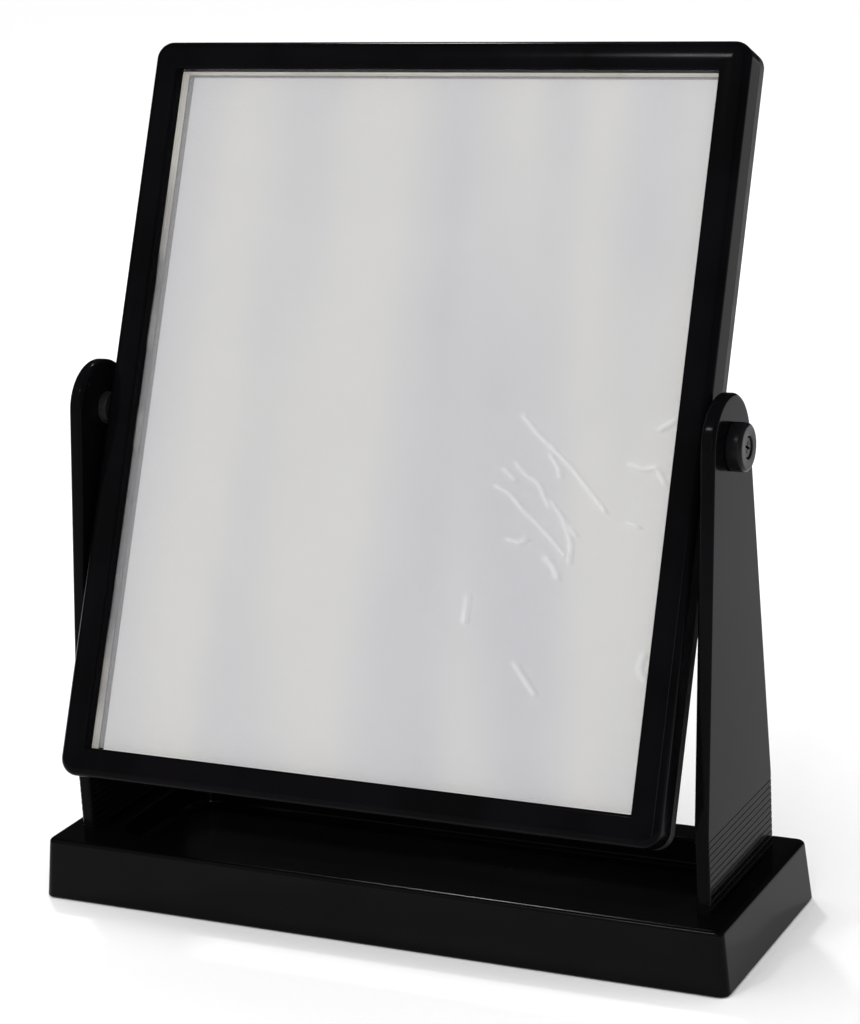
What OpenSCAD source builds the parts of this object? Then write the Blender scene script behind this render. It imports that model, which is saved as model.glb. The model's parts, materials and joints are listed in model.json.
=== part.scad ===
// Countertop mirror for an optician's dispensing desk, in millimetres.
// A framed mirror head tilts between two uprights that stand on a weighted tray base.
// X runs to the right, Y runs back and Z runs up, from the middle of the base on the counter.

/* [Base] */
// Width of the base at its foot
base_w = 292; // [280:1:320]
// Depth of the base at its foot
base_d = 99; // [90:1:120]
// Height of the base's top face above the counter
base_h = 25; // [22:0.5:32]
// How far each wall leans in by the top
base_draft = 2.1; // [0.5:0.1:3]
// Wall thickness of the base moulding
base_wall = 2.5; // [2:0.1:3.5]
// Width of the flat ledge in front of and behind the tray
tray_ledge = 14.5; // [11:0.5:16]
// Depth of the tray below the top face
tray_depth = 12; // [6:0.5:12.5]
// Corner radius of the tray
tray_corner_r = 14; // [6:1:20]

/* [Uprights] */
// Thickness of each upright
upright_t = 5.5; // [4:0.5:6]
// Distance from the middle to an upright's outer face
upright_x = 134.7; // [134:0.1:136]
// Depth of an upright's straight foot
foot_d = 70; // [56:1:76]
// Height of the top of the ribbed foot above the counter
foot_top = 57; // [45:1:70]
// Radius of the rounded head of an upright
upright_head_r = 19.3; // [14:0.1:24]
// Spacing of the grip grooves on the foot
rib_pitch = 2.6; // [2:0.1:4]

/* [Mirror head] */
// Width of the frame
head_w = 251.6; // [240:0.2:252]
// Height of the frame
head_h = 295; // [240:0.5:300]
// Thickness of the frame, front to back
head_t = 17.7; // [15:0.1:20]
// Width of the border round the glass
border = 11.5; // [10:0.1:16]
// Thickness of the front lip that covers the edge of the glass
lip_t = 5.2; // [4.2:0.1:6]
// Outer corner radius of the frame
head_corner_r = 7; // [4:0.5:10]
// Thickness of the glass
glass_t = 3; // [2:0.5:4]

/* [Tilt pivot] */
// Height of the tilt axis above the counter
pivot_z = 192.4; // [185:0.1:210]
// How far the tilt axis lies behind the middle of the base
pivot_y = 1.4; // [0:0.1:4]
// Depth of the tilt axis behind the front of the frame
pivot_depth = 6; // [5.5:0.1:7]
// How far the tilt axis lies below the middle of the frame
pivot_drop = 1.1; // [0:0.1:5]
// How far the top of the mirror leans back
tilt = 23.6; // [0:0.1:40]
// Diameter of the pivot screws
pivot_d = 4; // [3:0.5:4]
// Diameter of the round collars outside the uprights
collar_d = 18; // [14:0.5:20]
// Thickness of the collars
collar_t = 6; // [4:0.5:7]

/* [Hidden] */
$fn = 64;
eps = 0.01;

// Base
skirt_z = 0.5;
edge_r = 2;
base_corner_r = 4;
tray_half_x = base_w / 2 - 23.5;
tray_half_y = base_d / 2 - base_draft - tray_ledge;
tray_floor_t = 2.2;
tray_floor_z = base_h - tray_depth;
plate_t = 2.5;
plate_gap = 0.2;
socket_wall = 2.2;
socket_floor_z = 11;
tenon_d = 44;
tenon_z = 14;
tenon_gap = 0.1;
tenon_screw_y = 14;
tenon_screw_r = 1.75;
screw_gap = 0.08;
boss_r = 3.3;
boss_x = 88;
boss_y = base_d / 2 - 8.3;
plate_screw_r = 1.5;
plate_head_r = 2.6;
plate_head_z = skirt_z + 1.5;
plate_screw_top = 13;
pad_r = 6.5;
pad_t = 2;
pad_x = base_w / 2 - 20;
pad_y = base_d / 2 - 15;
ballast = [190, 52, 5];

// Uprights
groove_w = 0.8;
groove_depth = 0.3;
groove_margin = 2;
grooves = floor((foot_top - base_h - groove_margin) / rib_pitch);
running_gap = 0.08;
face_gap = 0.1;

// Mirror head
front_r = 3.5;
bezel_t = 12.6;
frame_wall = 2.6;
glass_inset = 7.5;
glass_gap = 0.3;
fit_gap = 0.6;
film_t = 0.15;
film_gap = 0.5;
foam_t = 2;
board_t = 2;
cover_wall = 2.2;
cover_inset = 0.1;
cover_chamfer = 0.5;
cover_gap = 0.15;
cover_boss_r = 2.5;
cover_screw_r = 1.3;
cover_head_r = 2.5;
cover_head_t = 1.5;
glass_w = head_w - 2 * glass_inset;
glass_h = head_h - 2 * glass_inset;
glass_back = lip_t + glass_t;
board_back = glass_back + foam_t + board_t;
boss_inset = glass_inset - glass_gap - cover_boss_r;
boss_u = head_w / 2 - boss_inset;
boss_v = head_h / 2 - boss_inset;
cover_bosses = [
    for (s = [-1, 1], v = [-110, -45, 45, 110]) [s * boss_u, v],
    for (s = [-1, 1], u = [-60, 60]) [u, s * boss_v]
];

// Pivot hardware
insert_r = 3;
insert_len = 5.2;
pivot_boss_front = 2;
pivot_boss_back = 11.5;
pivot_boss_h = 18;
pivot_boss_w = glass_inset - fit_gap - 1;
washer_r = 6.5;
pivot_head_r = 3.6;
pivot_head_t = 2.2;
counterbore_r = 4.1;
counterbore_t = 2.9;
washer_t = upright_x - upright_t - head_w / 2 - 2 * face_gap;
collar_x = upright_x + face_gap;
screw_end_x = head_w / 2 - insert_len + 0.4;

BLACK = "#1a191c";
STEEL = "#8c8e92";

// A rectangle with round corners, centred on the origin.
module round_rect(w, d, r) {
    rr = min(r, w / 2 - eps, d / 2 - eps);
    union() {
        square([w - 2 * rr, d], center = true);
        square([w, d - 2 * rr], center = true);
        for (sx = [-1, 1], sy = [-1, 1])
            translate([sx * (w / 2 - rr), sy * (d / 2 - rr)]) circle(r = rr);
    }
}

// One thin slice of the base's outer form at height z, pulled in by inset.
module base_slice(z, inset) {
    translate([0, 0, z]) linear_extrude(eps)
        round_rect(base_w - 2 * inset, base_d - 2 * inset, base_corner_r, $fn = 32);
}

// The base's drafted outer form with its top edge rolled over.
module base_form() {
    hull() {
        base_slice(skirt_z, 0);
        base_slice(base_h - edge_r, base_draft - 0.2);
        base_slice(base_h - edge_r * 0.35, base_draft + 0.35);
        base_slice(base_h - eps, base_draft + 1.3);
    }
}

// The tray's outline.
module tray_outline(grow) {
    round_rect(2 * (tray_half_x + grow), 2 * (tray_half_y + grow), tray_corner_r + grow);
}

// Where an upright's tenon goes down into the base, on one side.
module at_socket(side) {
    translate([side * (upright_x - upright_t / 2), 0, 0]) children();
}

module base_shell() {
    color(BLACK) difference() {
        union() {
            difference() {
                base_form();
                translate([0, 0, -eps]) linear_extrude(base_h - base_wall + eps)
                    round_rect(base_w - 2 * (base_draft + base_wall),
                               base_d - 2 * (base_draft + base_wall), base_corner_r);
            }
            // the tray hangs below the top face
            translate([0, 0, tray_floor_z - tray_floor_t])
                linear_extrude(tray_depth + tray_floor_t - 1) tray_outline(base_wall);
            // a socket for each upright's tenon
            for (side = [-1, 1]) at_socket(side)
                translate([-upright_t / 2 - socket_wall, -tenon_d / 2 - socket_wall, socket_floor_z])
                    cube([upright_t + 2 * socket_wall, tenon_d + 2 * socket_wall,
                          base_h - socket_floor_z - 1]);
            // bosses for the base plate's screws
            for (sx = [-1, 1], sy = [-1, 1])
                translate([sx * boss_x, sy * boss_y, skirt_z + plate_t])
                    cylinder(r = boss_r, h = base_h - 2 - skirt_z - plate_t);
        }
        translate([0, 0, tray_floor_z]) linear_extrude(tray_depth + 1) tray_outline(0);
        for (side = [-1, 1]) at_socket(side) {
            translate([-upright_t / 2 - tenon_gap, -tenon_d / 2 - tenon_gap, tenon_z - tenon_gap])
                cube([upright_t + 2 * tenon_gap, tenon_d + 2 * tenon_gap, base_h]);
            for (s = [-1, 1]) translate([0, s * tenon_screw_y, 0])
                cylinder(r = tenon_screw_r + screw_gap, h = base_h);
        }
        for (sx = [-1, 1], sy = [-1, 1]) translate([sx * boss_x, sy * boss_y, 0])
            cylinder(r = plate_screw_r + screw_gap, h = plate_screw_top);
    }
}

module base_plate() {
    color(BLACK) difference() {
        translate([0, 0, skirt_z]) linear_extrude(plate_t)
            round_rect(base_w - 2 * (base_draft + base_wall + plate_gap),
                       base_d - 2 * (base_draft + base_wall + plate_gap), base_corner_r);
        for (sx = [-1, 1], sy = [-1, 1]) {
            translate([sx * pad_x, sy * pad_y, 0]) cylinder(r = pad_r + face_gap, h = pad_t);
            translate([sx * boss_x, sy * boss_y, 0]) {
                cylinder(r = plate_screw_r + screw_gap, h = base_h);
                cylinder(r = plate_head_r + face_gap, h = plate_head_z);
            }
        }
    }
}

module ballast_plate() {
    color(STEEL) translate([-ballast.x / 2, -ballast.y / 2, skirt_z + plate_t]) cube(ballast);
}

// A round rubber foot let into the base plate.
module foot(sx, sy) {
    color("#222222") translate([sx * pad_x, sy * pad_y, 0]) cylinder(r = pad_r, h = pad_t);
}

// Side view of an upright: a straight foot, then a taper that runs tangent to the round head.
module upright_outline() {
    reach = [foot_d / 2, pivot_z - foot_top];
    span = norm(reach);
    lean = atan2(reach.x, reach.y) - asin(upright_head_r / span);
    tangent = upright_head_r * [cos(lean), sin(lean)];
    translate([pivot_y, 0]) union() {
        translate([0, pivot_z]) circle(r = upright_head_r, $fn = 128);
        polygon([[-foot_d / 2 - pivot_y, base_h], [foot_d / 2 - pivot_y, base_h],
                 [foot_d / 2 - pivot_y, foot_top], [tangent.x, pivot_z + tangent.y],
                 [-tangent.x, pivot_z + tangent.y], [-foot_d / 2 - pivot_y, foot_top]]);
        translate([-tenon_d / 2 - pivot_y, tenon_z]) square([tenon_d, base_h - tenon_z + 1]);
    }
}

module upright(side) {
    color(BLACK) at_socket(side) difference() {
        translate([-upright_t / 2, 0, 0]) rotate([90, 0, 90]) linear_extrude(upright_t)
            upright_outline();
        // grip grooves across both faces of the foot
        for (i = [1 : grooves], s = [-1, 1])
            translate([s * upright_t / 2, 0, base_h + i * rib_pitch])
                cube([2 * groove_depth, foot_d + 2, groove_w], center = true);
        translate([-upright_t, pivot_y, pivot_z]) rotate([0, 90, 0])
            cylinder(r = pivot_d / 2 + running_gap, h = 2 * upright_t);
        for (s = [-1, 1]) translate([0, s * tenon_screw_y, 0])
            cylinder(r = tenon_screw_r + screw_gap, h = base_h - 1);
    }
}

// A pan-head screw that points up, with its head below z = 0.
module screw(shank_r, shank_len, head_r, head_t) {
    translate([0, 0, -head_t]) {
        cylinder(r = shank_r, h = head_t + shank_len);
        cylinder(r = head_r, h = head_t);
    }
}

module upright_screws() {
    color(STEEL) for (side = [-1, 1], s = [-1, 1]) at_socket(side)
        translate([0, s * tenon_screw_y, socket_floor_z])
            screw(tenon_screw_r, base_h - socket_floor_z - 2, 2 * tenon_screw_r, 2.2);
}

module plate_screws() {
    color(STEEL) for (sx = [-1, 1], sy = [-1, 1])
        translate([sx * boss_x, sy * boss_y, plate_head_z])
            screw(plate_screw_r, plate_screw_top - plate_head_z - 1, plate_head_r, 1.3);
}

// Puts what was drawn upright about the pivot axis at the tilt it rests at.
module on_head() {
    translate([0, pivot_y, pivot_z]) rotate([-tilt, 0, 0]) children();
}

// A flat layer of the head between two depths behind the frame's front.
module layer(front, back) {
    translate([0, back - pivot_depth, pivot_drop]) rotate([90, 0, 0])
        linear_extrude(back - front) children();
}

// The frame's outline, pulled in by inset.
module head_outline(inset) {
    round_rect(head_w - 2 * inset, head_h - 2 * inset, head_corner_r - min(inset, 3));
}

module front_bezel() {
    color(BLACK) on_head() difference() {
        union() {
            difference() {
                union() {
                    layer(front_r, bezel_t) head_outline(0);
                    hull() {
                        layer(front_r - eps, front_r) head_outline(0, $fn = 32);
                        layer(1.1, 1.1 + eps) head_outline(0.9, $fn = 32);
                        layer(0, eps) head_outline(front_r, $fn = 32);
                    }
                }
                layer(-1, head_t) square([head_w - 2 * border, head_h - 2 * border], center = true);
                layer(lip_t, head_t) head_outline(frame_wall);
            }
            for (b = cover_bosses) layer(lip_t - 0.5, bezel_t) translate(b) circle(r = cover_boss_r);
            // a block on each side holds the threaded insert
            for (s = [-1, 1]) layer(pivot_boss_front, pivot_boss_back)
                translate([s * (head_w / 2 - 1 - pivot_boss_w / 2), -pivot_drop])
                    square([pivot_boss_w, pivot_boss_h], center = true);
        }
        for (b = cover_bosses) layer(lip_t + 1, head_t) translate(b)
            circle(r = cover_screw_r + screw_gap);
        for (s = [-1, 1]) translate([s * head_w / 2, 0, 0]) rotate([0, -90 * s, 0])
            translate([0, 0, -1]) cylinder(r = insert_r, h = insert_len + 1);
    }
}

module mirror_glass() {
    color("#c9cacb") on_head() layer(lip_t, glass_back) square([glass_w, glass_h], center = true);
}

module protective_film() {
    color("#d6d8da") on_head() layer(lip_t - film_t, lip_t)
        square([head_w - 2 * border - 2 * film_gap, head_h - 2 * border - 2 * film_gap],
               center = true);
}

module foam_pad() {
    color("#d8d5cc") on_head() layer(glass_back, glass_back + foam_t)
        square([glass_w - 2, glass_h - 2], center = true);
}

module backing_board() {
    color("#8a6e4e") on_head() layer(glass_back + foam_t, board_back)
        square([glass_w, glass_h], center = true);
}

module rear_cover() {
    color(BLACK) on_head() difference() {
        union() {
            layer(bezel_t, head_t - cover_chamfer) head_outline(cover_inset);
            hull() {
                layer(head_t - cover_chamfer, head_t - cover_chamfer + eps)
                    head_outline(cover_inset, $fn = 32);
                layer(head_t - eps, head_t) head_outline(cover_inset + cover_chamfer, $fn = 32);
            }
        }
        difference() {
            layer(bezel_t - 1, head_t - cover_wall) head_outline(frame_wall);
            // pads that press the board and the glass against the lip
            for (u = [-60, 0, 60], v = [-80, 0, 80]) layer(board_back, head_t)
                translate([u, v]) circle(r = 8);
            for (b = cover_bosses) layer(bezel_t, head_t) translate(b) circle(r = cover_boss_r);
        }
        for (b = cover_bosses) {
            layer(bezel_t - 1, head_t + 1) translate(b) circle(r = cover_screw_r + screw_gap);
            layer(head_t - cover_head_t, head_t + 1) translate(b)
                circle(r = cover_head_r + face_gap);
        }
    }
}

module cover_screws() {
    color(STEEL) on_head() for (b = cover_bosses) {
        layer(lip_t + 1.5, head_t - cover_head_t + eps) translate(b) circle(r = cover_screw_r);
        layer(head_t - cover_head_t, head_t - 0.2) translate(b) circle(r = cover_head_r);
    }
}

// Turns a piece drawn along +Z so that it points outwards from one side of the head.
module outwards(side, x) {
    on_head() translate([side * x, 0, 0]) rotate([0, 90 * side, 0]) children();
}

module pivot_insert(side) {
    color("#b08d4a") outwards(side, head_w / 2 - insert_len) difference() {
        cylinder(r = insert_r, h = insert_len);
        translate([0, 0, -1]) cylinder(r = pivot_d / 2, h = insert_len + 2);
    }
}

module friction_washer(side) {
    color("#2a2a2a") outwards(side, head_w / 2) difference() {
        cylinder(r = washer_r, h = washer_t + face_gap);
        translate([0, 0, -1]) cylinder(r = pivot_d / 2, h = washer_t + 3);
    }
}

module pivot_collar(side) {
    color(BLACK) outwards(side, collar_x) difference() {
        rotate_extrude($fn = 96) difference() {
            union() {
                square([collar_d / 2, collar_t - 1]);
                square([collar_d / 2 - 1, collar_t]);
                translate([collar_d / 2 - 1, collar_t - 1]) circle(r = 1);
            }
            translate([-2, -1]) square([2, collar_t + 2]);
        }
        translate([0, 0, -1]) cylinder(r = pivot_d / 2, h = collar_t + 2);
        translate([0, 0, collar_t - counterbore_t]) cylinder(r = counterbore_r, h = counterbore_t + 1);
    }
}

module pivot_screw(side) {
    seat_x = collar_x + collar_t - counterbore_t;
    color(STEEL) outwards(side, 0) {
        translate([0, 0, screw_end_x]) cylinder(r = pivot_d / 2, h = seat_x - screw_end_x + eps);
        translate([0, 0, seat_x]) difference() {
            cylinder(r = pivot_head_r, h = pivot_head_t);
            for (a = [0, 90]) rotate(a) translate([0, 0, pivot_head_t])
                cube([4.4, 0.9, 2.4], center = true);
        }
    }
}

base_shell();
base_plate();
ballast_plate();
foot(-1, -1);  // foot_front_left
foot(1, -1);  // foot_front_right
foot(-1, 1);  // foot_back_left
foot(1, 1);  // foot_back_right
upright(-1);  // left_upright
upright(1);  // right_upright
upright_screws();
plate_screws();
front_bezel();
mirror_glass();
protective_film();
foam_pad();
backing_board();
rear_cover();
cover_screws();
pivot_insert(-1);  // left_insert
pivot_insert(1);  // right_insert
friction_washer(-1);  // left_friction_washer
friction_washer(1);  // right_friction_washer
pivot_collar(-1);  // left_pivot_collar
pivot_collar(1);  // right_pivot_collar
pivot_screw(-1);  // left_pivot_screw
pivot_screw(1);  // right_pivot_screw
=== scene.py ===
"""Looks of a countertop mirror: a framed mirror that tilts between two uprights on a tray base.

Lengths are written in millimetres and multiplied by MM. X runs to the right, Y back and Z up.
"""

import json
import math

import bmesh
import bpy
from mathutils import Matrix, Vector


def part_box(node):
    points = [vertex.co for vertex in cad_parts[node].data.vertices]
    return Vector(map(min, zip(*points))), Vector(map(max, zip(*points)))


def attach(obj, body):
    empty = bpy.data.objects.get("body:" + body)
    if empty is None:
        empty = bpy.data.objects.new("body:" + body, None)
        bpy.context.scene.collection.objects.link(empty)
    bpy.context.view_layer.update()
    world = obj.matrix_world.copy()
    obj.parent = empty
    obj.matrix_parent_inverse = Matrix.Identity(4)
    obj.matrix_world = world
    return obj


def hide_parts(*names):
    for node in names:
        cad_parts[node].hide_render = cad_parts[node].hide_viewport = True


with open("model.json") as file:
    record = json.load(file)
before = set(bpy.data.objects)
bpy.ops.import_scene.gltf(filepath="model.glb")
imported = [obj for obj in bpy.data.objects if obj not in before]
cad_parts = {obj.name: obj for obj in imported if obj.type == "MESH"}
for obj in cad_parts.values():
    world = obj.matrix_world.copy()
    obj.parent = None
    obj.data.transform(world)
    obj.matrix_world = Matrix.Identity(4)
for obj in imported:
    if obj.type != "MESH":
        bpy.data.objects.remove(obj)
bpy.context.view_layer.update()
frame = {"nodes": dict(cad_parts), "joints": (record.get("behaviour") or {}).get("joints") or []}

MM = 0.001
PIVOT = Vector(frame["joints"][0]["pos_m"])

# ---------------------------------------------------------------- sizes, mm
BASE_LOW, BASE_HIGH = (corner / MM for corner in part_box("base_shell"))
BASE_HALF_X = BASE_HIGH.x
BASE_HALF_Y = BASE_HIGH.y
BASE_FOOT_Z = BASE_LOW.z
BASE_TOP_Z = BASE_HIGH.z
BASE_CORNER_R = 4
BASE_DRAFT = 2.1
BASE_EDGE_R = 2
BASE_WALL = 2.5
TRAY_HALF_X = 122.5
TRAY_HALF_Y = 32.9
TRAY_CORNER_R = 14
TRAY_FLOOR_Z = 13
TRAY_FILLET = 3
TRAY_LIP_R = 1
TRAY_FLOOR_T = 2.2

UPRIGHT_LOW, UPRIGHT_HIGH = (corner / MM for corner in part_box("right_upright"))
UPRIGHT_X = (UPRIGHT_LOW.x + UPRIGHT_HIGH.x) / 2
UPRIGHT_T = UPRIGHT_HIGH.x - UPRIGHT_LOW.x
UPRIGHT_HEAD_R = UPRIGHT_HIGH.z - PIVOT.z / MM
UPRIGHT_EDGE_R = 1.5
FOOT_HALF_Y = 35
FOOT_TOP_Z = 57
GROOVE_PITCH = 2.6
GROOVE_W = 0.8
GROOVE_DEPTH = 0.14
TENON_HALF_Y = 22
TENON_Z = 14
PIVOT_HOLE_R = 2.08

HEAD_W = (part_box("front_bezel")[1].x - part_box("front_bezel")[0].x) / MM
HEAD_H = 295
HEAD_T = 17.7
HEAD_CORNER_R = 7
TILT = math.radians(23.6)
PIVOT_DEPTH = 6
PIVOT_DROP = 1.1
BORDER = 11.5
LIP_T = 5.2
FRAME_WALL = 2.6
PARTING_DEPTH = 12.6
GLASS_INSET = 7.5
SILVER_DEPTH = 7.6
GLASS_BACK = 8.2
CUSHION_INSET = 8.8
CUSHION_T = 2
CUSHION_GAP = 0.1
CUSHION_EDGE_R = 0.7
FILM_T = 0.08
FILM_GAP = 0.5
COVER_INSET = 0.1
SCREW_INSET = 4.7
PLATE_SCREW_X = 88
PLATE_SCREW_Y = 41.2

HEAD = (
    Matrix.Translation(PIVOT)
    @ Matrix.Rotation(-TILT, 4, "X")
    @ Matrix.Translation(Vector((0, -PIVOT_DEPTH, PIVOT_DROP)) * MM)
)


# ---------------------------------------------------------------- mesh tools
def arc(centre, radius, start, end, steps):
    """Points on an arc, with both ends, angles in degrees."""
    turns = [math.radians(start + (end - start) * i / steps) for i in range(steps + 1)]
    return [(centre[0] + radius * math.cos(t), centre[1] + radius * math.sin(t)) for t in turns]


def rounded_ring(half_x, half_y, radius, level, steps=12):
    """A loop of points round a rectangle with round corners, at one level."""
    points = []
    for sx, sy, start in ((1, 1, 0), (-1, 1, 90), (-1, -1, 180), (1, -1, 270)):
        centre = (sx * (half_x - radius), sy * (half_y - radius))
        points += [Vector((x, y, level)) for x, y in arc(centre, radius, start, start + 90, steps)]
    return points


def loft(bm, loops, ends=True, around=False, closed=True):
    """Skins a row of equal loops; ends closes the first and last, around joins them instead.

    closed is False where each loop is open and runs from one axis point to another.
    """
    rows = [[bm.verts.new(point) for point in loop] for loop in loops]
    pairs = list(zip(rows, rows[1:])) + ([(rows[-1], rows[0])] if around else [])
    for low, high in pairs:
        for i in range(len(low) if closed else len(low) - 1):
            j = (i + 1) % len(low)
            bm.faces.new((low[i], low[j], high[j], high[i]))
    if ends and not around:
        bm.faces.new(list(reversed(rows[0])))
        bm.faces.new(rows[-1])


def lathe(bm, profile, segments=64):
    """Turns a profile of (radius, height) points about Z.

    A profile that starts and ends on the axis makes a solid, and any other one makes a ring.
    """
    loops = []
    for i in range(segments):
        turn = 2 * math.pi * i / segments
        loops.append([Vector((r * math.cos(turn), r * math.sin(turn), h)) for r, h in profile])
    loft(bm, loops, around=True, closed=profile[0][0] > 0)


def piece(name, bm, placing, body, nodes, material, crease=35):
    """Makes a piece from a mesh in millimetres.

    It is placed, smoothed up to the crease angle in degrees, and tied to its body, nodes and slot.
    """
    bmesh.ops.remove_doubles(bm, verts=bm.verts, dist=1e-5)
    bmesh.ops.dissolve_degenerate(bm, edges=bm.edges, dist=1e-5)
    bmesh.ops.recalc_face_normals(bm, faces=bm.faces)
    for face in bm.faces:
        face.smooth = True
    for edge in bm.edges:
        edge.smooth = edge.calc_face_angle(math.pi) < math.radians(crease)
    bmesh.ops.transform(bm, matrix=placing @ Matrix.Scale(MM, 4), verts=bm.verts)
    mesh = bpy.data.meshes.new(name)
    bm.to_mesh(mesh)
    bm.free()
    made = bpy.data.objects.new(name, mesh)
    bpy.context.scene.collection.objects.link(made)
    mesh.materials.append(material)
    normals = made.modifiers.new("even_normals", "WEIGHTED_NORMAL")
    normals.keep_sharp = True
    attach(made, body)
    if nodes:
        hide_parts(*nodes)
    return made


def cut(bm, cutter):
    """Takes the cutter's mesh away from bm's and gives the result."""
    objects = []
    for source in (bm, cutter):
        bmesh.ops.remove_doubles(source, verts=source.verts, dist=1e-5)
        bmesh.ops.recalc_face_normals(source, faces=source.faces)
        mesh = bpy.data.meshes.new("cut")
        source.to_mesh(mesh)
        source.free()
        objects.append(bpy.data.objects.new("cut", mesh))
        bpy.context.scene.collection.objects.link(objects[-1])
    work, tool = objects
    difference = work.modifiers.new("cut", "BOOLEAN")
    difference.operation = "DIFFERENCE"
    difference.solver = "EXACT"
    difference.object = tool
    graph = bpy.context.evaluated_depsgraph_get()
    result = bmesh.new()
    result.from_mesh(work.evaluated_get(graph).to_mesh())
    for used in objects:
        mesh = used.data
        bpy.data.objects.remove(used)
        bpy.data.meshes.remove(mesh)
    return result


# ---------------------------------------------------------------- material tools
def linear(hex_colour):
    """An sRGB hex colour as linear RGBA."""
    parts = [int(hex_colour[i : i + 2], 16) / 255 for i in (1, 3, 5)]
    return [p / 12.92 if p <= 0.04045 else ((p + 0.055) / 1.055) ** 2.4 for p in parts] + [1]


def add(tree, kind, links=None, **settings):
    """Adds a node. links go from an input to an output socket or a value; settings are the node's own."""
    made = tree.nodes.new(kind)
    for name, value in settings.items():
        setattr(made, name, value)
    for key, value in (links or {}).items():
        if isinstance(value, bpy.types.NodeSocket):
            tree.links.new(value, made.inputs[key])
        else:
            made.inputs[key].default_value = value
    return made


def new_material(name):
    """An empty material, its tree, and the place of each point in the object."""
    made = bpy.data.materials.new(name)
    made.use_nodes = True
    tree = made.node_tree
    tree.nodes.clear()
    return made, tree, add(tree, "ShaderNodeTexCoord").outputs["Object"]


def moulded_plastic(name, dark, light, rough_low, rough_high, specular, grain_mm, grain_depth_mm):
    """Injection-moulded plastic: an even black with faint flow marks, hairline wear and the tool's skin."""
    made, tree, place = new_material(name)
    flow = add(tree, "ShaderNodeTexNoise", {"Vector": place, "Scale": 1 / (40 * MM), "Detail": 3})
    marks = add(
        tree, "ShaderNodeMapRange", {0: flow.outputs[0], 1: 0.35, 2: 0.65}, interpolation_type="SMOOTHSTEP")
    black = add(
        tree, "ShaderNodeMix", {0: marks.outputs[0], 6: linear(dark), 7: linear(light)}, data_type="RGBA")
    handling = add(tree, "ShaderNodeTexNoise", {
        "Vector": place, "Scale": 1 / (14 * MM), "Detail": 4, "Roughness": 0.6})
    polish = add(tree, "ShaderNodeMapRange", {
        0: handling.outputs[0], 1: 0.3, 2: 0.7, 3: rough_low, 4: rough_high})
    grain = add(tree, "ShaderNodeTexNoise", {"Vector": place, "Scale": 1 / (grain_mm * MM), "Detail": 2})
    skin = add(tree, "ShaderNodeBump", {"Height": grain.outputs[0], "Distance": grain_depth_mm * MM})
    # shrinkage of the walls: slow waves of a few hundredths of a millimetre
    slow = add(tree, "ShaderNodeTexNoise", {"Vector": place, "Scale": 1 / (28 * MM), "Detail": 1})
    waves = add(tree, "ShaderNodeBump", {
        "Height": slow.outputs[0], "Distance": 0.03 * MM, "Normal": skin.outputs[0]})
    shader = add(tree, "ShaderNodeBsdfPrincipled", {
        "Base Color": black.outputs[2], "Roughness": polish.outputs[0], "Normal": waves.outputs[0],
        "Specular IOR Level": specular, "IOR": 1.5})
    add(tree, "ShaderNodeOutputMaterial", {"Surface": shader.outputs[0]})
    return made


# Gloss-moulded black polystyrene of the base: a deep blue-black with sharp but soft-edged highlights.
BASE_BLACK = moulded_plastic("base_gloss_polystyrene", "#040405", "#070607", 0.12, 0.18, 0.062, 0.8, 0.001)
# The same plastic on the mirror's frame, deeper still where hands have polished it.
FRAME_BLACK = moulded_plastic("frame_gloss_polystyrene", "#050506", "#080709", 0.1, 0.16, 0.025, 0.8, 0.001)
# The same plastic on the collars, left a little duller by the tool.
COLLAR_BLACK = moulded_plastic("collar_polystyrene", "#0d0c0e", "#121114", 0.24, 0.32, 0.12, 0.5, 0.002)
# The same plastic on the uprights' broad flat faces, which mirror the collars and grey under a side light.
UPRIGHT_BLACK = moulded_plastic("upright_polystyrene", "#060607", "#09080a", 0.1, 0.16, 0.03, 0.5, 0.001)
# Spark-eroded tool face on the back and underside: a fine even stipple, drawn at 0.6 mm so that it shows.
STIPPLED_BLACK = moulded_plastic(
    "stippled_black_polystyrene", "#0e0d10", "#131214", 0.42, 0.52, 0.3, 0.6, 0.03)


def make_silvering():
    """Silvered float glass: a bright, barely green reflection with the float's slow draw waves."""
    made, tree, place = new_material("silvered_float_glass")
    pour = add(tree, "ShaderNodeTexNoise", {"Vector": place, "Scale": 1 / (90 * MM), "Detail": 1})
    tint = add(tree, "ShaderNodeMix", {
        0: pour.outputs[0], 6: linear("#f3f3f5"), 7: linear("#efefee")}, data_type="RGBA")
    haze = add(tree, "ShaderNodeTexNoise", {"Vector": place, "Scale": 1 / (22 * MM), "Detail": 3})
    polish = add(tree, "ShaderNodeMapRange", {0: haze.outputs[0], 1: 0.3, 2: 0.7, 3: 0.03, 4: 0.06})
    draw = add(tree, "ShaderNodeTexNoise", {"Vector": place, "Scale": 1 / (70 * MM), "Detail": 1})
    waves = add(tree, "ShaderNodeBump", {"Height": draw.outputs[0], "Distance": 0.02 * MM})
    shader = add(tree, "ShaderNodeBsdfPrincipled", {
        "Base Color": tint.outputs[2], "Metallic": 1, "Roughness": polish.outputs[0],
        "Normal": waves.outputs[0]})
    add(tree, "ShaderNodeOutputMaterial", {"Surface": shader.outputs[0]})
    return made


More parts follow.
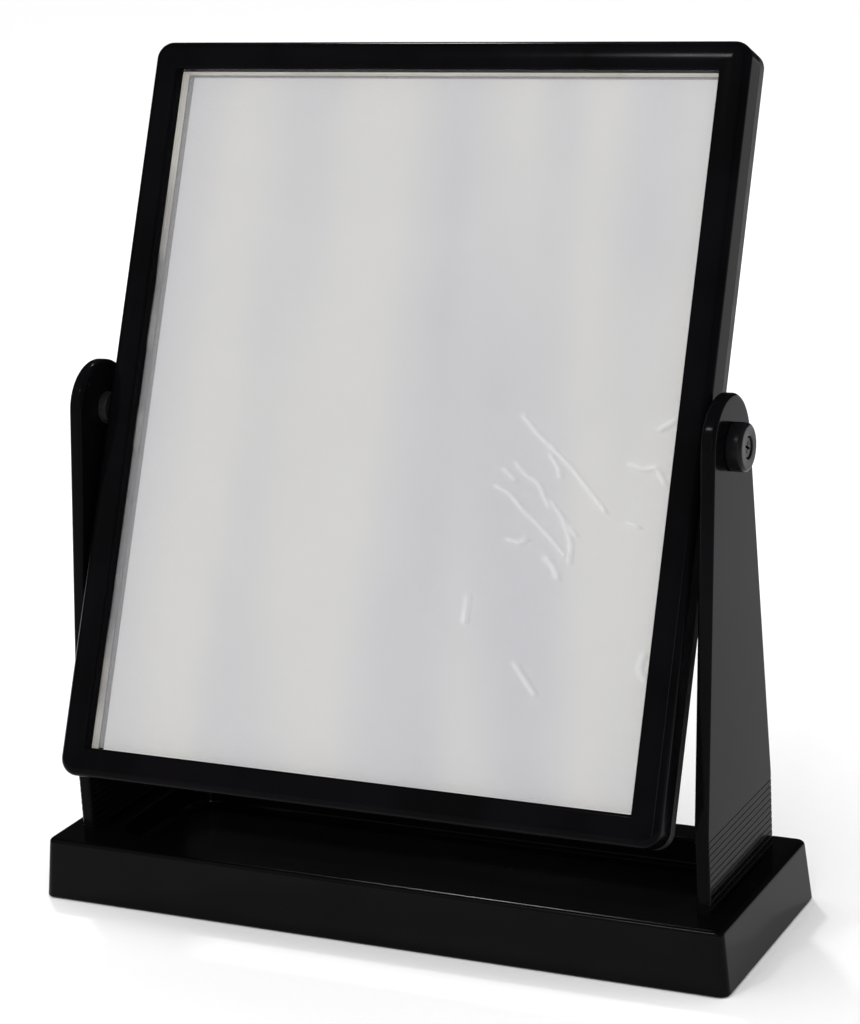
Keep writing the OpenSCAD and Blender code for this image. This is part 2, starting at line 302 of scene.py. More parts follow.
def make_film():
    """Clear polyethylene masking film: a thin milky veil, whiter along each crease where it was folded."""
    made, tree, place = new_material("clear_masking_film")
    clouds = add(tree, "ShaderNodeTexNoise", {"Vector": place, "Scale": 1 / (45 * MM), "Detail": 3})
    milk = add(tree, "ShaderNodeMix", {
        0: clouds.outputs[0], 6: linear("#dcdce0"), 7: linear("#eae9ea")}, data_type="RGBA")
    rubs = add(tree, "ShaderNodeTexNoise", {"Vector": place, "Scale": 1 / (12 * MM), "Detail": 3})
    polish = add(tree, "ShaderNodeMapRange", {0: rubs.outputs[0], 1: 0.3, 2: 0.7, 3: 0.26, 4: 0.34})
    slack = add(tree, "ShaderNodeTexNoise", {"Vector": place, "Scale": 1 / (16 * MM), "Detail": 1})
    ripples = add(tree, "ShaderNodeBump", {"Height": slack.outputs[0], "Distance": 0.25 * MM})
    folded = add(tree, "ShaderNodeAttribute", attribute_name="folded")
    whitened = add(tree, "ShaderNodeMapRange", {0: folded.outputs["Fac"], 3: FILM_HAZE, 4: CREASE_HAZE})
    shader = add(tree, "ShaderNodeBsdfPrincipled", {
        "Base Color": milk.outputs[2], "Roughness": polish.outputs[0], "Normal": ripples.outputs[0],
        "Alpha": whitened.outputs[0], "IOR": 1.5})
    add(tree, "ShaderNodeOutputMaterial", {"Surface": shader.outputs[0]})
    return made


def make_ground_edge():
    """The seamed edge of the glass, matt and patchy where the belt ground it, with painted light on it: near
    black as painted shade in the middle of its height, and pale as a painted highlight towards the top and
    bottom.
    """
    made, tree, place = new_material("seamed_glass_edge")
    parts = add(tree, "ShaderNodeSeparateXYZ", {0: place})
    # painted light: the edge is drawn paler the further it lies above or below 175 mm, a painted highlight at
    # the top and bottom and painted shade between
    off_middle = add(tree, "ShaderNodeMath", {0: parts.outputs["Z"], 1: 175 * MM}, operation="SUBTRACT")
    away = add(tree, "ShaderNodeMath", {0: off_middle.outputs[0]}, operation="ABSOLUTE")
    ends = add(tree, "ShaderNodeMapRange", {
        0: away.outputs[0], 1: 55 * MM, 2: 125 * MM}, interpolation_type="SMOOTHSTEP")
    belt = add(tree, "ShaderNodeTexNoise", {"Vector": place, "Scale": 1 / (25 * MM), "Detail": 2})
    pressed = add(tree, "ShaderNodeMapRange", {0: belt.outputs[0], 1: 0.35, 2: 0.65, 3: -0.15, 4: 0.2})
    # how pale the edge is drawn: painted light by height, plus patchy grinding from the belt noise
    depth = add(
        tree, "ShaderNodeMath", {0: ends.outputs[0], 1: pressed.outputs[0]}, operation="ADD", use_clamp=True)
    # near black for the painted shade, pale for the painted highlight and the ground glass
    pale = add(tree, "ShaderNodeMix", {
        0: depth.outputs[0], 6: linear("#0c0b0b"), 7: linear("#d6d2c6")}, data_type="RGBA")
    scratches = add(tree, "ShaderNodeTexNoise", {"Vector": place, "Scale": 1 / (0.6 * MM), "Detail": 2})
    grit = add(tree, "ShaderNodeBump", {"Height": scratches.outputs[0], "Distance": 0.03 * MM})
    shader = add(tree, "ShaderNodeBsdfPrincipled", {
        "Base Color": pale.outputs[2], "Roughness": 0.45, "Normal": grit.outputs[0],
        "Specular IOR Level": 0.12, "IOR": 1.52})
    add(tree, "ShaderNodeOutputMaterial", {"Surface": shader.outputs[0]})
    return made


def rolled_metal(name, dark, light, rough_low, rough_high, mark_mm, stretch):
    """Metal with a fine directional finish: rolled, turned or plated."""
    made, tree, place = new_material(name)
    along = add(tree, "ShaderNodeMapping", {"Vector": place, "Scale": [1 / s for s in stretch]})
    marks = add(tree, "ShaderNodeTexNoise", {
        "Vector": along.outputs[0], "Scale": 1 / (mark_mm * MM), "Detail": 4})
    worn = add(tree, "ShaderNodeMapRange", {0: marks.outputs[0], 1: 0.3, 2: 0.7})
    tone = add(
        tree, "ShaderNodeMix", {0: worn.outputs[0], 6: linear(dark), 7: linear(light)}, data_type="RGBA")
    polish = add(tree, "ShaderNodeMapRange", {
        0: marks.outputs[0], 1: 0.3, 2: 0.7, 3: rough_low, 4: rough_high})
    relief = add(tree, "ShaderNodeBump", {"Height": marks.outputs[0], "Distance": 0.01 * MM})
    shader = add(tree, "ShaderNodeBsdfPrincipled", {
        "Base Color": tone.outputs[2], "Metallic": 1, "Roughness": polish.outputs[0],
        "Normal": relief.outputs[0]})
    add(tree, "ShaderNodeOutputMaterial", {"Surface": shader.outputs[0]})
    return made


# Zinc-plated steel: a cool grey with a soft sheen.
ZINC = rolled_metal("zinc_plated_steel", "#8d9096", "#b4b6ba", 0.28, 0.4, 0.6, (1, 1, 1))
# Blackened steel for the pivot screws: dark, with a dull glint.
BLACKENED = rolled_metal("blackened_steel", "#17171a", "#28282b", 0.3, 0.42, 0.6, (1, 1, 1))
# Mill-finish steel plate: long rolling marks.
MILL_STEEL = rolled_metal("mill_finish_steel", "#6f7275", "#8f9193", 0.35, 0.5, 0.5, (30, 1, 1))
# Turned brass: warm, with fine rings from the tool.
TURNED_BRASS = rolled_metal("turned_brass", "#b08a45", "#caa65e", 0.22, 0.34, 0.4, (8, 1, 1))


def matt_solid(name, dark, light, roughness, mark_mm, depth_mm):
    """A matt, non-metallic stuff with marks of one size: rubber, nylon, foam or board."""
    made, tree, place = new_material(name)
    marks = add(tree, "ShaderNodeTexNoise", {"Vector": place, "Scale": 1 / (mark_mm * MM), "Detail": 3})
    patchy = add(tree, "ShaderNodeMapRange", {0: marks.outputs[0], 1: 0.3, 2: 0.7})
    tone = add(
        tree, "ShaderNodeMix", {0: patchy.outputs[0], 6: linear(dark), 7: linear(light)}, data_type="RGBA")
    polish = add(tree, "ShaderNodeMapRange", {
        0: marks.outputs[0], 1: 0.3, 2: 0.7, 3: roughness - 0.06, 4: roughness + 0.06})
    relief = add(tree, "ShaderNodeBump", {"Height": marks.outputs[0], "Distance": depth_mm * MM})
    shader = add(tree, "ShaderNodeBsdfPrincipled", {
        "Base Color": tone.outputs[2], "Roughness": polish.outputs[0], "Normal": relief.outputs[0],
        "IOR": 1.5})
    add(tree, "ShaderNodeOutputMaterial", {"Surface": shader.outputs[0]})
    return made


# Moulded nitrile rubber: a dull charcoal that takes dust.
RUBBER = matt_solid("moulded_rubber", "#161616", "#232322", 0.8, 1.2, 0.02)
# Black nylon washer: waxy and slightly shiny.
NYLON = matt_solid("black_nylon", "#111112", "#19191a", 0.45, 1.5, 0.01)
# Closed-cell polyethylene foam: off-white with cells of about a millimetre.
FOAM = matt_solid("closed_cell_foam", "#cfcbc0", "#e0ddd4", 0.85, 1.0, 0.1)
# Greyboard: short brown-grey fibres.
BOARD = matt_solid("greyboard", "#85735c", "#9b8a70", 0.85, 0.8, 0.03)
# How much of the reflection the flat film and a crease in it hide.
FILM_HAZE = 0.13
CREASE_HAZE = 0.29
SILVERING = make_silvering()
FILM = make_film()
GROUND_EDGE = make_ground_edge()

CAD_FINISHES = {
    "base_plate": STIPPLED_BLACK, "ballast_plate": MILL_STEEL, "upright_screws": ZINC,
    "backing_board": BOARD,
    "left_insert": TURNED_BRASS, "right_insert": TURNED_BRASS,
    "left_friction_washer": NYLON, "right_friction_washer": NYLON,
    "left_pivot_screw": BLACKENED, "right_pivot_screw": BLACKENED,
}
for node_name, finish in CAD_FINISHES.items():
    node_object = frame["nodes"][node_name]
    for place_in_node in node_object.material_slots:
        place_in_node.material = finish


# ---------------------------------------------------------------- base
def make_base():
    """One closed shell: tray floor, tray wall, ledge, outer wall, rim, and the inside of the same walls."""
    wall_top = BASE_TOP_Z - BASE_EDGE_R
    fillet_z = TRAY_FLOOR_Z + TRAY_FILLET
    rings = []
    for x, z in arc((0, fillet_z), TRAY_FILLET, -90, 0, 6):
        inset = TRAY_FILLET - x
        rings.append((TRAY_HALF_X - inset, TRAY_HALF_Y - inset, TRAY_CORNER_R - inset, z))
    for x, z in arc((TRAY_LIP_R, BASE_TOP_Z - TRAY_LIP_R), TRAY_LIP_R, 180, 90, 4):
        rings.append((TRAY_HALF_X + x, TRAY_HALF_Y + x, TRAY_CORNER_R + x, z))
    for x, z in arc((0, wall_top), BASE_EDGE_R, 90, 0, 6):
        inset = BASE_DRAFT + BASE_EDGE_R - x
        rings.append((BASE_HALF_X - inset, BASE_HALF_Y - inset, BASE_CORNER_R - inset / 2, z))
    rings.append((BASE_HALF_X, BASE_HALF_Y, BASE_CORNER_R, BASE_FOOT_Z + 0.4))
    rings.append((BASE_HALF_X - 0.3, BASE_HALF_Y - 0.3, BASE_CORNER_R - 0.3, BASE_FOOT_Z))
    inner = BASE_DRAFT + BASE_WALL
    under = BASE_TOP_Z - BASE_WALL
    for z in (BASE_FOOT_Z, under):
        rings.append((BASE_HALF_X - inner, BASE_HALF_Y - inner, BASE_CORNER_R, z))
    for z in (under, TRAY_FLOOR_Z - TRAY_FLOOR_T):
        rings.append((TRAY_HALF_X + BASE_WALL, TRAY_HALF_Y + BASE_WALL, TRAY_CORNER_R + BASE_WALL, z))
    bm = bmesh.new()
    loft(bm, [rounded_ring(*ring) for ring in rings])
    piece("tray_base", bm, Matrix(), "stand", ["base_shell"], BASE_BLACK)


def upright_rows():
    """Front and back points of an upright at each level, with the way out from its edge."""
    pivot_y, pivot_z = PIVOT.y / MM, PIVOT.z / MM
    reach = (FOOT_HALF_Y, pivot_z - FOOT_TOP_Z)
    lean = math.atan2(*reach) - math.asin(UPRIGHT_HEAD_R / math.hypot(*reach))
    levels = [(BASE_TOP_Z, 0)]
    grooves = int((FOOT_TOP_Z - BASE_TOP_Z - 2) / GROOVE_PITCH)
    for i in range(1, grooves + 1):
        middle = BASE_TOP_Z + i * GROOVE_PITCH
        for offset, depth in ((-0.5, 0), (-0.32, 0.8), (-0.15, 1), (0.15, 1), (0.32, 0.8), (0.5, 0)):
            levels.append((middle + offset * GROOVE_W, depth * GROOVE_DEPTH))
    levels.append((FOOT_TOP_Z - 1, 0))
    rows = []
    for z, depth in levels:
        rows.append([(s * FOOT_HALF_Y, z, s, 0, depth) for s in (-1, 1)])
    # the foot's corner is eased over about 2 mm
    half = lean / 2
    rows.append([(s * (FOOT_HALF_Y - 0.05), FOOT_TOP_Z, s * math.cos(half), math.sin(half), 0)
                 for s in (-1, 1)])
    for i in range(25):
        turn = lean + (math.pi / 2 - lean) * i / 24
        out = (math.cos(turn), math.sin(turn))
        rows.append([(pivot_y + s * UPRIGHT_HEAD_R * out[0], pivot_z + UPRIGHT_HEAD_R * out[1],
                      s * out[0], out[1], 0) for s in (-1, 1)])
    return rows


def make_upright(side, name, node):
    """A flat plate with eased edges and grip grooves, a tenon below and a pivot hole in its head."""
    bm = bmesh.new()
    steps = 5
    half = UPRIGHT_T / 2
    loops = []
    for row in upright_rows():
        loop = []
        for across, face in ((0, -1), (1, -1), (1, 1), (0, 1)):
            y, z, out_y, out_z, depth = row[across]
            turns = range(steps + 1) if (across, face) in ((1, -1), (0, 1)) else range(steps, -1, -1)
            for k in turns:
                turn = math.radians(90 * k / steps)
                inset = UPRIGHT_EDGE_R * (1 - math.sin(turn))
                x = half - depth - UPRIGHT_EDGE_R * (1 - math.cos(turn))
                loop.append(Vector((face * x, y - out_y * inset, z - out_z * inset)))
        loops.append(loop)
    loft(bm, loops)
    bmesh.ops.remove_doubles(bm, verts=bm.verts, dist=1e-4)
    tenon = [
        [Vector((sx * half, sy * TENON_HALF_Y, z)) for sx, sy in ((1, 1), (-1, 1), (-1, -1), (1, -1))]
        for z in (TENON_Z, BASE_TOP_Z + 1)
    ]
    rim = arc((PIVOT.y / MM, PIVOT.z / MM), PIVOT_HOLE_R, 0, 352.5, 47)
    hole = bmesh.new()
    loft(hole, [[Vector((x, y, z)) for y, z in rim] for x in (-UPRIGHT_T, UPRIGHT_T)])
    bm = cut(bm, hole)
    loft(bm, tenon)
    piece(name, bm, Matrix.Translation((side * UPRIGHT_X * MM, 0, 0)), "stand", [node],
          UPRIGHT_BLACK)


def make_foot(name, node):
    """A round rubber pad with an eased rim and a moulded ring in its face."""
    low, high = (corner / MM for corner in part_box(node))
    r, t = (high.x - low.x) / 2, high.z - low.z
    profile = [(0, t), (r, t), (r, 0.6)] + arc((r - 0.6, 0.6), 0.6, 0, -90, 4)
    profile += [(r * 0.62, 0), (r * 0.57, 0.35), (r * 0.47, 0.35), (r * 0.42, 0), (0, 0)]
    bm = bmesh.new()
    lathe(bm, profile)
    middle = Vector(((low.x + high.x) / 2, (low.y + high.y) / 2, low.z)) * MM
    piece(name, bm, Matrix.Translation(middle), "stand", [node], RUBBER)


# ---------------------------------------------------------------- mirror head
def frame_ring(inset, depth, least=0.4):
    """The frame's outline pulled in by inset, at a depth behind the frame's front."""
    radius = max(HEAD_CORNER_R - inset, least)
    ring = rounded_ring(HEAD_W / 2 - inset, HEAD_H / 2 - inset, radius, 0)
    return [Vector((p.x, depth, p.y)) for p in ring]


def make_frame():
    """The front moulding: round outer edge, nearly flat face, eased inner lip and the wall behind it."""
    profile = [(FRAME_WALL, PARTING_DEPTH), (0.25, PARTING_DEPTH), (0, PARTING_DEPTH - 0.25)]
    outer_r, inner_r, outer_end, inner_end = 3.4, 1.3, 258, 277
    turn_out, turn_in = (math.cos(math.radians(a)) for a in (outer_end, inner_end))
    face_r = (BORDER - outer_r * (1 + turn_out) - inner_r * (1 - turn_in)) / (turn_in - turn_out)
    face_u = outer_r + (outer_r - face_r) * turn_out
    outer_depth = face_r + (outer_r - face_r) * -math.sin(math.radians(outer_end))
    inner_depth = face_r + (inner_r - face_r) * -math.sin(math.radians(inner_end))
    profile += arc((outer_r, outer_depth), outer_r, 180, outer_end, 9)
    profile += arc((face_u, face_r), face_r, outer_end, inner_end, 8)[1:]
    profile += arc((BORDER - inner_r, inner_depth), inner_r, inner_end, 360, 7)[1:]
    profile += [(BORDER, LIP_T), (GLASS_INSET - 0.3, LIP_T), (FRAME_WALL, LIP_T + 0.4)]
    bm = bmesh.new()
    loft(bm, [frame_ring(*point) for point in profile], around=True)
    piece("mirror_frame", bm, HEAD, "head", ["front_bezel"], FRAME_BLACK)


def make_mirror():
    """The silvered plate at the depth where the silver is seen, and the glass's seamed edge before it."""
    bm = bmesh.new()
    loft(bm, [frame_ring(GLASS_INSET, depth) for depth in (SILVER_DEPTH, GLASS_BACK)])
    piece("mirror_silvering", bm, HEAD, "head", ["mirror_glass"], SILVERING)
    bm = bmesh.new()
    profile = [(BORDER + 0.02, LIP_T), (BORDER + 0.02, SILVER_DEPTH), (BORDER - 0.6, SILVER_DEPTH),
               (BORDER - 0.6, LIP_T)]
    loft(bm, [frame_ring(*point) for point in profile], around=True)
    piece("glass_edge", bm, HEAD, "head", [], GROUND_EDGE)


def make_cushion():
    """The foam sheet that presses the glass forward: a flat slab with soft edges, pressed tight."""
    u = CUSHION_INSET + CUSHION_EDGE_R
    front = GLASS_BACK + CUSHION_GAP + CUSHION_EDGE_R
    back = GLASS_BACK + CUSHION_T - CUSHION_GAP - CUSHION_EDGE_R
    profile = arc((u, front), CUSHION_EDGE_R, 270, 180, 4) + arc((u, back), CUSHION_EDGE_R, 180, 90, 4)
    bm = bmesh.new()
    loft(bm, [frame_ring(*point) for point in profile])
    cushion = piece("glass_cushion", bm, HEAD, "head", ["foam_pad"], FOAM)


# Where the film stands off the glass, measured across and up from its middle.
# For each dent: across, up, size, height, stretch and turn.
FILM_DENTS = [
    (-80, 90, 9, 0.16, 1.6, 20), (-31, 93, 6, 0.14, 2.2, -30), (7, 82, 10, 0.12, 1.8, 35),
    (22, 36, 12, 0.12, 1.5, 60), (-61, 59, 7, 0.1, 1.5, 0), (-14, -25, 9, 0.12, 2, 40),
    (107, -92, 4, 0.2, 1.5, 70), (112, -86, 3, 0.18, 1.3, 20), (116, -100, 4, 0.2, 1.6, 60),
    (110, -104, 3, 0.15, 1.2, 0), (67.5, -52.5, 3, 0.3, 1.4, -50), (102, -2, 4, 0.2, 1.5, 30),
    (100, -20, 5, 0.12, 2, 30), (-90, -60, 12, 0.08, 1.6, 15), (-40, -95, 14, 0.08, 1.8, 60),
]


# Creases where the film was pulled: how wide and high each one is, then the points it runs through.
FILM_CREASES = [
    (0.65, 0.17, [(51.5, 5.5), (58, -1), (66, -7), (73, -12.5), (81, -20.5), (88, -27.5)]),
    (0.6, 0.13, [(44, -21.5), (50.5, -24.5), (54.5, -28.5), (62.5, -34.5)]),
    (0.55, 0.11, [(51, -12.5), (56, -17), (60.5, -19), (66, -27.5)]),
    (0.55, 0.1, [(64, -8.5), (68, -13), (69, -16.5)]),
    (0.55, 0.11, [(67, -26), (72, -31.5), (76.5, -40.5), (76.5, -47.5)]),
    (0.6, 0.13, [(62.5, -34.5), (69, -40), (74.5, -45)]),
    (0.95, 0.26, [(67.5, -47), (71, -50), (72.5, -53.5)]),
    (0.75, 0.16, [(96, -10), (101.5, -11.5), (106, -10.5), (110.5, -16.5)]),
    (0.75, 0.13, [(105.5, 3.5), (111, 7)]),
    (0.55, 0.1, [(51, -41), (56.5, -42), (58.5, -40)]),
    (0.55, 0.1, [(98, -31.5), (102, -32.5)]),
    (0.85, 0.2, [(110, -78.5), (108.5, -83.5), (112, -88.5)]),
    (0.75, 0.08, [(60, -86.5), (64.5, -91.5), (69, -96.5)]),
    (0.55, 0.07, [(37.5, -63), (38, -73)]),
    (0.55, 0.1, [(75, -34.5), (78, -37.5)]),
    (0.55, 0.08, [(46.5, -15), (51, -18.5)]),
]


def crease_reach(u, v):
    """How high the creases stand at a point, and how strongly the film is folded there from 0 to 1."""
    height, folded = 0, 0
    for width, tall, points in FILM_CREASES:
        for (u0, v0), (u1, v1) in zip(points, points[1:]):
            if not (min(u0, u1) - 4 < u < max(u0, u1) + 4 and min(v0, v1) - 4 < v < max(v0, v1) + 4):
                continue
            run = (u1 - u0) ** 2 + (v1 - v0) ** 2
            t = min(1, max(0, ((u - u0) * (u1 - u0) + (v - v0) * (v1 - v0)) / run))
            away = math.hypot(u - u0 - t * (u1 - u0), v - v0 - t * (v1 - v0)) / width
            height = max(height, tall * math.exp(-away * away))
            folded = max(folded, math.exp(-away * away))
    return height, folded


def film_height(u, v):
    """How far the film stands off the glass at a point, in millimetres."""
    height = 0.03 * math.sin(u / 17 + v / 41) * math.sin(v / 23 - u / 60)
    for cu, cv, size, tall, stretch, turn in FILM_DENTS:
        t = math.radians(turn)
        du, dv = u - cu, v - cv
        along = (du * math.cos(t) + dv * math.sin(t)) / (size * stretch)
        across = (-du * math.sin(t) + dv * math.cos(t)) / size
        height += tall * math.exp(-2.5 * (along * along + across * across))
    return height


def graded(low, high, fine_low, fine_high):
    """Grid lines from low to high, 2 mm apart but 0.7 mm apart where the film is creased."""
    lines = []
    for start, end, step in ((low, fine_low, 2), (fine_low, fine_high, 0.7), (fine_high, high, 2)):
        count = max(1, round((end - start) / step))
        lines += [start + (end - start) * i / count for i in range(count)]
    return lines + [high]


def make_film_sheet():
    """The thin film over the glass, a fine grid that follows its dents and bubbles."""
    half_u = HEAD_W / 2 - BORDER - FILM_GAP
    half_v = HEAD_H / 2 - BORDER - FILM_GAP
    lines_u = graded(-half_u, half_u, 38, 112)
    lines_v = graded(-half_v, half_v, -106, 10)
    count_u, count_v = len(lines_u) - 1, len(lines_v) - 1
    bm = bmesh.new()
    folded = bm.verts.layers.float.new("folded")
    for back in (False, True):
        grid = []
        for v in lines_v:
            row = []
            for u in lines_u:
                ridge, strength = crease_reach(u, v)
                depth = LIP_T - 0.1 - film_height(u, v) - ridge + (FILM_T if back else 0)
                point = bm.verts.new((u, depth, v))
                point[folded] = strength
                row.append(point)
            grid.append(row)
        for j in range(count_v):
            for i in range(count_u):
                bm.faces.new((grid[j][i], grid[j][i + 1], grid[j + 1][i + 1], grid[j + 1][i]))
        if not back:
            front = grid
    edge_front, edge_back = (
        sheet[0] + [row[-1] for row in sheet[1:]] + sheet[-1][-2::-1] + [row[0] for row in sheet[-2:0:-1]]
        for sheet in (front, grid)
    )
    for i in range(len(edge_front)):
        j = (i + 1) % len(edge_front)
        bm.faces.new((edge_front[i], edge_front[j], edge_back[j], edge_back[i]))
    piece("masking_film", bm, HEAD, "head", ["protective_film"], FILM, crease=60)


def cross_screw(shank_r, shank_len, head_r, head_t):
    """A pan-head screw along +Z, head below zero, with a cross recess and a plain shank."""
    profile = [(0, -head_t)] + arc((head_r - 0.55 * head_t, -0.45 * head_t), 0.55 * head_t, -90, 0, 5)
    profile += [(head_r, 0), (shank_r, 0), (shank_r, shank_len - shank_r), (0, shank_len)]
    bm = bmesh.new()
    lathe(bm, profile, 40)
    tool = bmesh.new()
    arm, half = head_r * 0.62, head_r * 0.14
    corners = [(arm, -half), (arm, half), (half, half)]
    outline = []
    for _ in range(4):
        outline += corners
        corners = [(-y, x) for x, y in corners]
    loft(tool, [
        [Vector((x * grow, y * grow, z)) for x, y in outline]
        for z, grow in ((-head_t * 0.25, 0.6), (-head_t - 0.3, 1.15))
    ])
    return cut(bm, tool)


def screw_group(make, places):
    """One group of equal screws, each a copy of one screw turned a little from the last."""
    group = bmesh.new()
    for i, place in enumerate(places):
        screw = make()
        bmesh.ops.transform(screw, matrix=place @ Matrix.Rotation(0.7 * i, 4, "Z"), verts=screw.verts)
        mesh = bpy.data.meshes.new("screw")
        screw.to_mesh(mesh)
        group.from_mesh(mesh)
        bpy.data.meshes.remove(mesh)
        screw.free()
    return group


COVER_SCREWS = [(s * (HEAD_W / 2 - SCREW_INSET), v) for s in (-1, 1) for v in (-110, -45, 45, 110)]
COVER_SCREWS += [(u, s * (HEAD_H / 2 - SCREW_INSET)) for s in (-1, 1) for u in (-60, 60)]


def make_back():
    """The rear cover: round back edge, a raised border and a stippled panel, with a recess for each screw."""
    profile = [(FRAME_WALL, PARTING_DEPTH), (COVER_INSET + 0.25, PARTING_DEPTH)]
    profile += [(COVER_INSET, PARTING_DEPTH + 0.25)]
    profile += arc((COVER_INSET + 0.6, HEAD_T - 0.6), 0.6, 180, 90, 5)
    profile += [(9.5, HEAD_T), (10, HEAD_T - 0.15), (10.4, HEAD_T - 0.5), (11, HEAD_T - 0.6)]
    bm = bmesh.new()
    inner = [(FRAME_WALL, 15.5)]
    rings = [frame_ring(*point) for point in inner + profile]
    loft(bm, rings)
    recesses = bmesh.new()
    for u, v in COVER_SCREWS:
        loft(recesses, [
            [Vector((u + x, depth, v + z)) for x, z in arc((0, 0), 2.6, 0, 348.75, 31)]
            for depth in (HEAD_T - 1.5, HEAD_T + 1)
        ])
    bm = cut(bm, recesses)
    piece("back_cover", bm, HEAD, "head", ["rear_cover"], STIPPLED_BLACK)
    places = [
        Matrix.Translation((u, HEAD_T - 1.5, v)) @ Matrix.Rotation(math.pi / 2, 4, "X")
        for u, v in COVER_SCREWS
    ]
    group = screw_group(lambda: cross_screw(1.3, 9.5, 2.45, 1.3), places)
    piece("back_screws", group, HEAD, "head", ["cover_screws"], ZINC)


def make_collar(side, name, node):
    """A turned-looking moulded cap: soft rim, slightly dished face and a deep recess for the screw."""
    bore, recess, r, t, floor = 2.0, 4.1, 9, 6, 3.1
    profile = [(bore, 0), (r - 0.3, 0), (r, 0.3)] + arc((r - 1.6, t - 1.6), 1.6, 0, 90, 7)
    profile += [(5.4, t - 0.12), (recess + 0.45, t - 0.16)]
    profile += arc((recess + 0.45, t - 0.61), 0.45, 90, 180, 4)
    profile += [(recess, floor), (bore, floor)]
    bm = bmesh.new()
    lathe(bm, profile, 80)
    outer = abs((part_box(node)[0 if side < 0 else 1]).x)
    place = Matrix.Translation((side * (outer - t * MM), PIVOT.y, PIVOT.z))
    place = place @ Matrix.Rotation(side * math.pi / 2, 4, "Y")
    piece(name, bm, place, "head", [node], COLLAR_BLACK)


def make_plate_fixings():
    """The four screws that hold the plate under the base."""
    places = [
        Matrix.Translation((sx * PLATE_SCREW_X, sy * PLATE_SCREW_Y, 2)) for sx in (-1, 1) for sy in (-1, 1)
    ]
    group = screw_group(lambda: cross_screw(1.5, 10, 2.6, 1.3), places)
    piece("plate_fixings", group, Matrix(), "stand", ["plate_screws"], ZINC)


make_base()
make_upright(-1, "upright_left", "left_upright")
make_upright(1, "upright_right", "right_upright")
for corner in ("front_left", "front_right", "back_left", "back_right"):
    make_foot("pad_" + corner, "foot_" + corner)
make_frame()
make_mirror()
make_cushion()
make_film_sheet()
make_back()
make_collar(-1, "collar_left", "left_pivot_collar")
make_collar(1, "collar_right", "right_pivot_collar")
make_plate_fixings()


# ---------------------------------------------------------------- floor, light and camera
def make_floor():
    """A plain white sweep, much larger than the view."""
    made, tree, place = new_material("white_paper_sweep")
    fibres = add(tree, "ShaderNodeTexNoise", {"Vector": place, "Scale": 1 / (3 * MM), "Detail": 3})
    paper = add(tree, "ShaderNodeMix", {
        0: fibres.outputs[0], 6: linear("#f6f6f6"), 7: linear("#f9f9f9")}, data_type="RGBA")
    shader = add(tree, "ShaderNodeBsdfPrincipled", {
        "Base Color": paper.outputs[2], "Roughness": 0.9, "Specular IOR Level": 0.1})
    add(tree, "ShaderNodeOutputMaterial", {"Surface": shader.outputs[0]})
    bm = bmesh.new()
    bmesh.ops.create_grid(bm, x_segments=1, y_segments=1, size=20)
    mesh = bpy.data.meshes.new("floor")
    bm.to_mesh(mesh)
    bm.free()
    mesh.materials.append(made)
    floor = bpy.data.objects.new("floor", mesh)
    bpy.context.scene.collection.objects.link(floor)


# The way from the mirror to the curtain that it shows.
CURTAIN_WAY = (-0.445, -0.761, 0.473)


def make_room():
    """The room as light: dim, with a pale curtain up to the front left and a paler side to the right.

    Where nothing stands in front of it the view sees plain white instead.
    """
    world = bpy.data.worlds.new("studio")
    bpy.context.scene.world = world
    world.use_nodes = True
    tree = world.node_tree
    tree.nodes.clear()
    way = add(tree, "ShaderNodeTexCoord").outputs["Generated"]
    parts = add(tree, "ShaderNodeSeparateXYZ", {0: way})
    right = add(tree, "ShaderNodeMapRange", {0: parts.outputs["X"], 1: 0.4, 2: 0.9, 4: 0.35},
                interpolation_type="SMOOTHSTEP").outputs[0]
    facing = add(
        tree, "ShaderNodeVectorMath", {0: way, 1: CURTAIN_WAY}, operation="DOT_PRODUCT").outputs[1]
    wall = add(tree, "ShaderNodeMapRange", {0: facing, 1: 0.75, 2: 0.95, 4: 0.6},
               interpolation_type="SMOOTHSTEP").outputs[0]
    # soft upright bands, which the folds of the curtain give
    around = add(tree, "ShaderNodeMath", {0: parts.outputs["Y"], 1: parts.outputs["X"]}, operation="ARCTAN2")
    # the cloth hangs a little askew
    askew = add(tree, "ShaderNodeMath", {
        0: parts.outputs["Z"], 1: 0.35, 2: around.outputs[0]}, operation="MULTIPLY_ADD")
    upright = add(tree, "ShaderNodeCombineXYZ", {"X": askew.outputs[0], "Z": parts.outputs["Z"]})
    hang = add(tree, "ShaderNodeMapping", {"Vector": upright.outputs[0], "Scale": (1, 1, 0.12)})
    folds = add(
        tree, "ShaderNodeTexNoise", {"Vector": hang.outputs[0], "Scale": 26, "Detail": 1}).outputs[0]
    bands_tint = add(tree, "ShaderNodeMapRange", {0: folds, 1: 0.36, 2: 0.64},
                     interpolation_type="SMOOTHSTEP").outputs[0]
    bands = add(tree, "ShaderNodeMapRange", {0: folds, 1: 0.36, 2: 0.64, 3: 0.91, 4: 1.1},
                interpolation_type="SMOOTHSTEP").outputs[0]
    wall = add(tree, "ShaderNodeMath", {0: wall, 1: bands}, operation="MULTIPLY").outputs[0]
    most = add(tree, "ShaderNodeMath", {0: right, 1: wall}, operation="MAXIMUM").outputs[0]
    level = add(tree, "ShaderNodeMath", {0: most, 1: 0.04}, operation="ADD").outputs[0]
    seen = add(tree, "ShaderNodeLightPath").outputs["Is Camera Ray"]
    level = add(tree, "ShaderNodeMix", {0: seen, 2: level, 3: 1.0}, data_type="FLOAT").outputs[0]
    # the folds that face the window are warm, the others pick up a cool grey
    cloth = add(
        tree, "ShaderNodeMix", {0: bands_tint, 6: linear("#f3f2f8"), 7: linear("#fbfaf3")}, data_type="RGBA")
    colour = add(tree, "ShaderNodeMix", {0: seen, 6: cloth.outputs[2], 7: (1, 1, 1, 1)}, data_type="RGBA")
    light = add(tree, "ShaderNodeBackground", {"Color": colour.outputs[2], "Strength": level})
    add(tree, "ShaderNodeOutputWorld", {"Surface": light.outputs[0]})


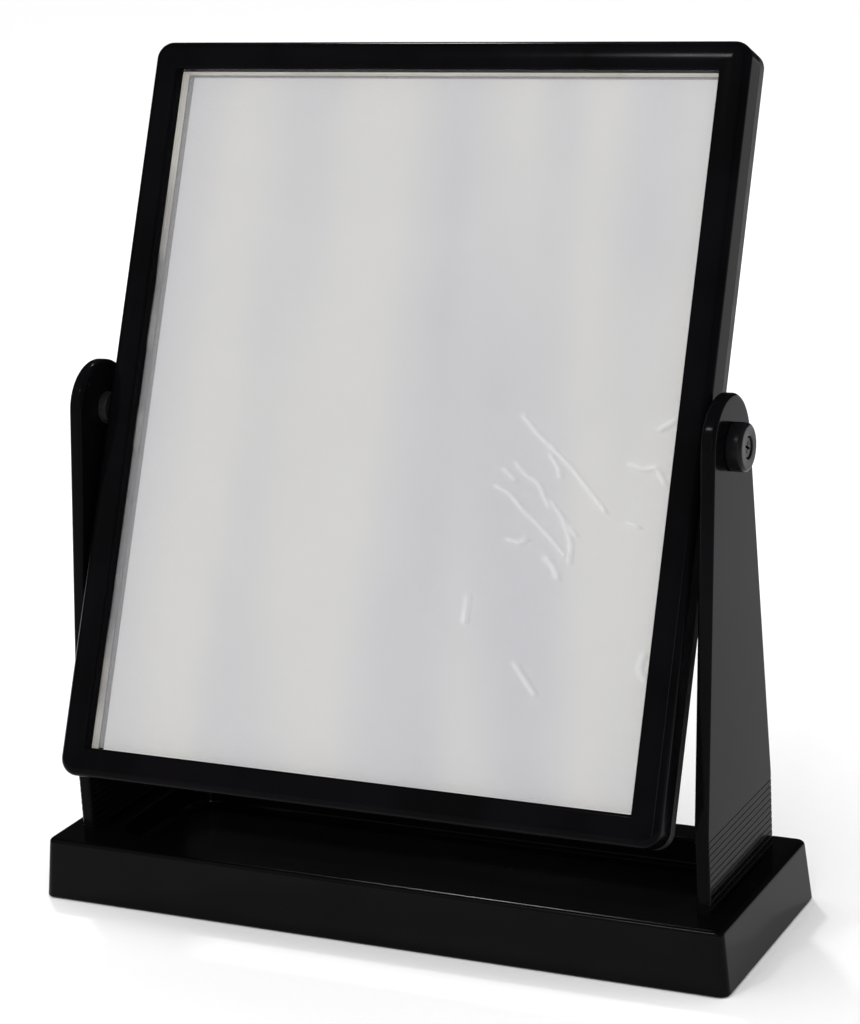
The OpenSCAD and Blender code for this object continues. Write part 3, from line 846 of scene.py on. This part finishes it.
def sky_light(name, direction, spread_deg, power):
    """An even, wide light from one side that gives soft shadows and no glints."""
    data = bpy.data.lights.new(name, "SUN")
    data.angle = math.radians(spread_deg)
    data.energy = power
    lamp = bpy.data.objects.new(name, data)
    bpy.context.scene.collection.objects.link(lamp)
    lamp.rotation_euler = Vector(direction).to_track_quat("Z", "Y").to_euler()
    lamp.visible_glossy = False


def soft_light(name, position, target, width, height, power):
    """A lamp or window that points at a target and gives the glints."""
    data = bpy.data.lights.new(name, "AREA")
    data.shape = "RECTANGLE"
    data.size = width
    data.size_y = height
    data.energy = power
    lamp = bpy.data.objects.new(name, data)
    bpy.context.scene.collection.objects.link(lamp)
    lamp.location = position
    lamp.rotation_euler = (Vector(target) - Vector(position)).to_track_quat("-Z", "Y").to_euler()
    lamp.visible_camera = False


def make_camera():
    """A long lens from the front right, a little above the mirror, held with a slight roll."""
    yaw, pitch, roll = (math.radians(a) for a in (26.663, -16.039, -3.212))
    forward = Vector((-math.sin(yaw) * math.cos(pitch), math.cos(yaw) * math.cos(pitch), math.sin(pitch)))
    right = Vector((math.cos(yaw), math.sin(yaw), 0))
    up = right.cross(forward)
    rolled_right = right * math.cos(roll) + up * math.sin(roll)
    rolled_up = up * math.cos(roll) - right * math.sin(roll)
    data = bpy.data.cameras.new("camera")
    data.sensor_fit = "HORIZONTAL"
    data.sensor_width = 36
    data.lens = 118.77
    data.shift_y = 0.0345
    data.clip_end = 100
    camera = bpy.data.objects.new("camera", data)
    bpy.context.scene.collection.objects.link(camera)
    place = Matrix((rolled_right, rolled_up, -forward)).transposed().to_4x4()
    place.translation = (0.47788, -0.92785, 0.44634)
    camera.matrix_world = place
    bpy.context.scene.camera = camera


make_floor()
make_room()
sky_light("even_fill", (-0.12, -0.4, 1), 150, 3.2)
soft_light("front_lamp", (-0.79, -1.65, 2.12), (0, 0, 0.15), 0.18, 0.18, 7)
soft_light("back_lamp", (-0.9, 1.1, 1.9), (0, 0, 0.15), 0.18, 0.18, 12)
soft_light("front_window", (0.65, -2.4, 0.85), (0, 0, 0.2), 0.22, 1.1, 6)
make_camera()
bpy.context.scene.view_settings.view_transform = "Standard"
